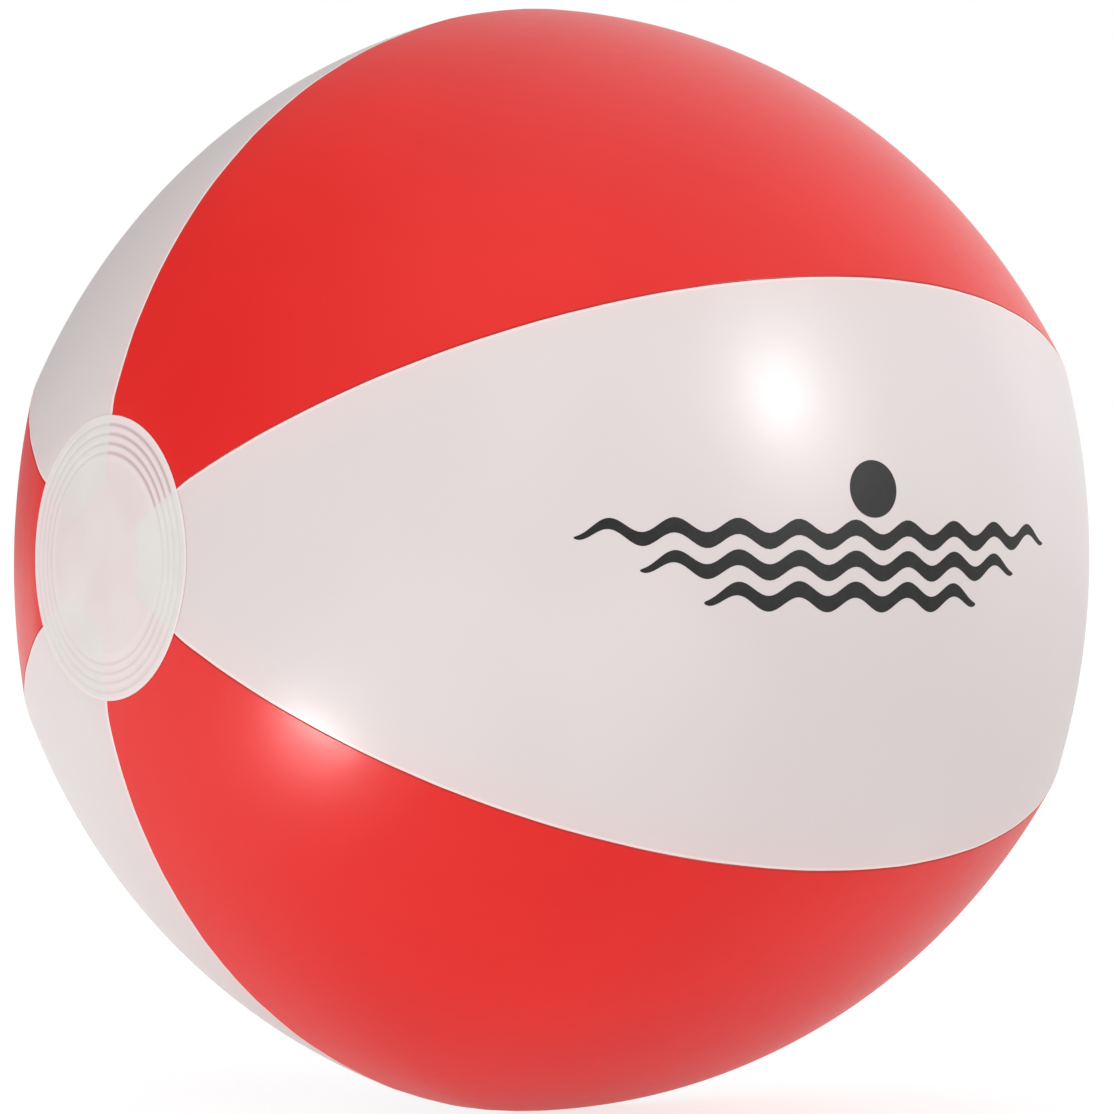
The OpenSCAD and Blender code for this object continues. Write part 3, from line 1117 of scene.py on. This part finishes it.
class BALL_OT_valve(bpy.types.Operator):
    """Make the valve's flange, web, stem, stopper, strap and check flap"""

    bl_idname = "ball.valve"
    bl_label = "Valve"

    def execute(self, context):
        finish = valve_finish(context.scene.ball_looks)
        made = {}
        for name, node, parts, lay in VALVE:
            made[node] = valve_piece(name, parts(), finish, lay)
        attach(made["valve_flange"], "ball")
        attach(made["valve_stem"], "stem")
        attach(made["stopper"], "stopper")
        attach(made["check_flap"], "flap")
        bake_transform(made["valve_web"])
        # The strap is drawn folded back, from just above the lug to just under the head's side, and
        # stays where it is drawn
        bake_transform(made["tether"])
        for node, piece in made.items():
            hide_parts(node)
        return {"FINISHED"}


# The room's lights: the stage's power and a share of it, the direction from the ball's centre,
# the distance from it and the width
LIGHTS = {
    "key": ("key", 0.75, (0.215, -0.878, 0.426), 2.2, 0.34),
    "halo": ("key", 0.4, (0.298, -0.872, 0.386), 2.2, 1.2),
    "low card": ("low_card", 1.0, (-0.879, -0.270, -0.391), 0.243, 0.05),
    "side": ("key", 0.05, (0.955, 0.018, 0.297), 2.2, 0.9),
    "left": ("left", 1.0, (-0.98, 0.10, 0.05), 2.0, 1.0),
}
# The camera's direction from the ball, its roll, and how far the ball is spun about its polar axis
AZIMUTH, ELEVATION = math.radians(-36.485), math.radians(-0.167)
ROLL, SPIN = math.radians(0.285), math.radians(1.435)
SHIFT = (0.00487, 0.00361)
SENSOR_W = 36.0
CLIP = (0.05, 50.0)
FLOOR_R = 6.0


def round_light(name, power, direction, distance, width):
    """A round light that faces the ball's centre. All but the left one give only a highlight."""
    data = bpy.data.lights.new(name, "AREA")
    data.shape = "DISK"
    data.size = width
    data.energy = power
    lamp = placed(name, data)
    aim = Vector(direction).normalized()
    lamp.location = aim * distance
    lamp.rotation_mode = "QUATERNION"
    lamp.rotation_quaternion = aim.to_track_quat("Z", "Y")
    lamp.visible_glossy = name != "left"
    lamp.visible_diffuse = name == "left"
    lamp.visible_camera = False


class BALL_OT_stage(bpy.types.Operator):
    """Make the floor, the lights and the camera"""

    bl_idname = "ball.stage"
    bl_label = "Stage"

    def execute(self, context):
        stage = context.scene.ball_stage
        scene = context.scene
        scene.view_settings.view_transform = "Standard"
        scene.world = studio_light(stage)
        # A wide round floor that the ball rests on
        mesh = bpy.data.meshes.new("floor")
        floor = placed("floor", mesh)
        low = Matrix.Translation((0, 0, CAD_BOX[0].z))
        work = bmesh.new()
        bmesh.ops.create_circle(work, cap_ends=True, segments=ROUND, radius=FLOOR_R, matrix=low)
        work.to_mesh(mesh)
        work.free()
        mesh.materials.append(floor_finish(stage))
        for name, (power, share, *place) in LIGHTS.items():
            round_light(name, getattr(stage, power) * share, *place)
        # The camera, almost level with the ball's centre
        data = bpy.data.cameras.new("camera")
        camera = placed("camera", data)
        data.lens = stage.lens
        data.sensor_width = SENSOR_W
        data.clip_start, data.clip_end = CLIP
        data.shift_x, data.shift_y = SHIFT
        level = math.cos(ELEVATION)
        back = Vector((math.sin(AZIMUTH) * level, -math.cos(AZIMUTH) * level, math.sin(ELEVATION)))
        right = Vector((math.cos(AZIMUTH), math.sin(AZIMUTH), 0.0))
        upright_view = Matrix((right, back.cross(right), back)).transposed()
        spun = Matrix.Rotation(-SPIN, 3, "X")
        camera.rotation_mode = "QUATERNION"
        view = spun @ upright_view @ Matrix.Rotation(ROLL, 3, "Z")
        camera.rotation_quaternion = view.to_quaternion()
        camera.location = spun @ back * stage.distance
        scene.camera = camera
        return {"FINISHED"}


class BALL_PT_panel(bpy.types.Panel):
    """Lists what makes the beach ball"""

    bl_idname = "BALL_PT_panel"
    bl_label = "Beach Ball"
    bl_space_type = "VIEW_3D"
    bl_region_type = "UI"
    bl_category = "Beach Ball"

    def draw(self, context):
        for step in STEPS:
            self.layout.operator(step.bl_idname)
        for group in (context.scene.ball_sizes, context.scene.ball_looks, context.scene.ball_stage):
            box = self.layout.box()
            for name in group.__annotations__:
                box.prop(group, name)


STEPS = (BALL_OT_stage, BALL_OT_gores, BALL_OT_pole_discs, BALL_OT_print, BALL_OT_valve)
GROUPS = {"ball_sizes": BallSizes, "ball_looks": BallLooks, "ball_stage": StageSizes}


def register():
    for group in GROUPS.values():
        bpy.utils.register_class(group)
    for name, group in GROUPS.items():
        setattr(bpy.types.Scene, name, PointerProperty(type=group))
    for part in (*STEPS, BALL_PT_panel):
        bpy.utils.register_class(part)


def unregister():
    for part in (*STEPS, BALL_PT_panel):
        bpy.utils.unregister_class(part)
    for name in GROUPS:
        delattr(bpy.types.Scene, name)
    for group in GROUPS.values():
        bpy.utils.unregister_class(group)


def main():
    register()
    bpy.ops.ball.stage()
    bpy.ops.ball.gores()
    bpy.ops.ball.pole_discs()
    bpy.ops.ball.print()
    bpy.ops.ball.valve()


if __name__ == "__main__":
    main()
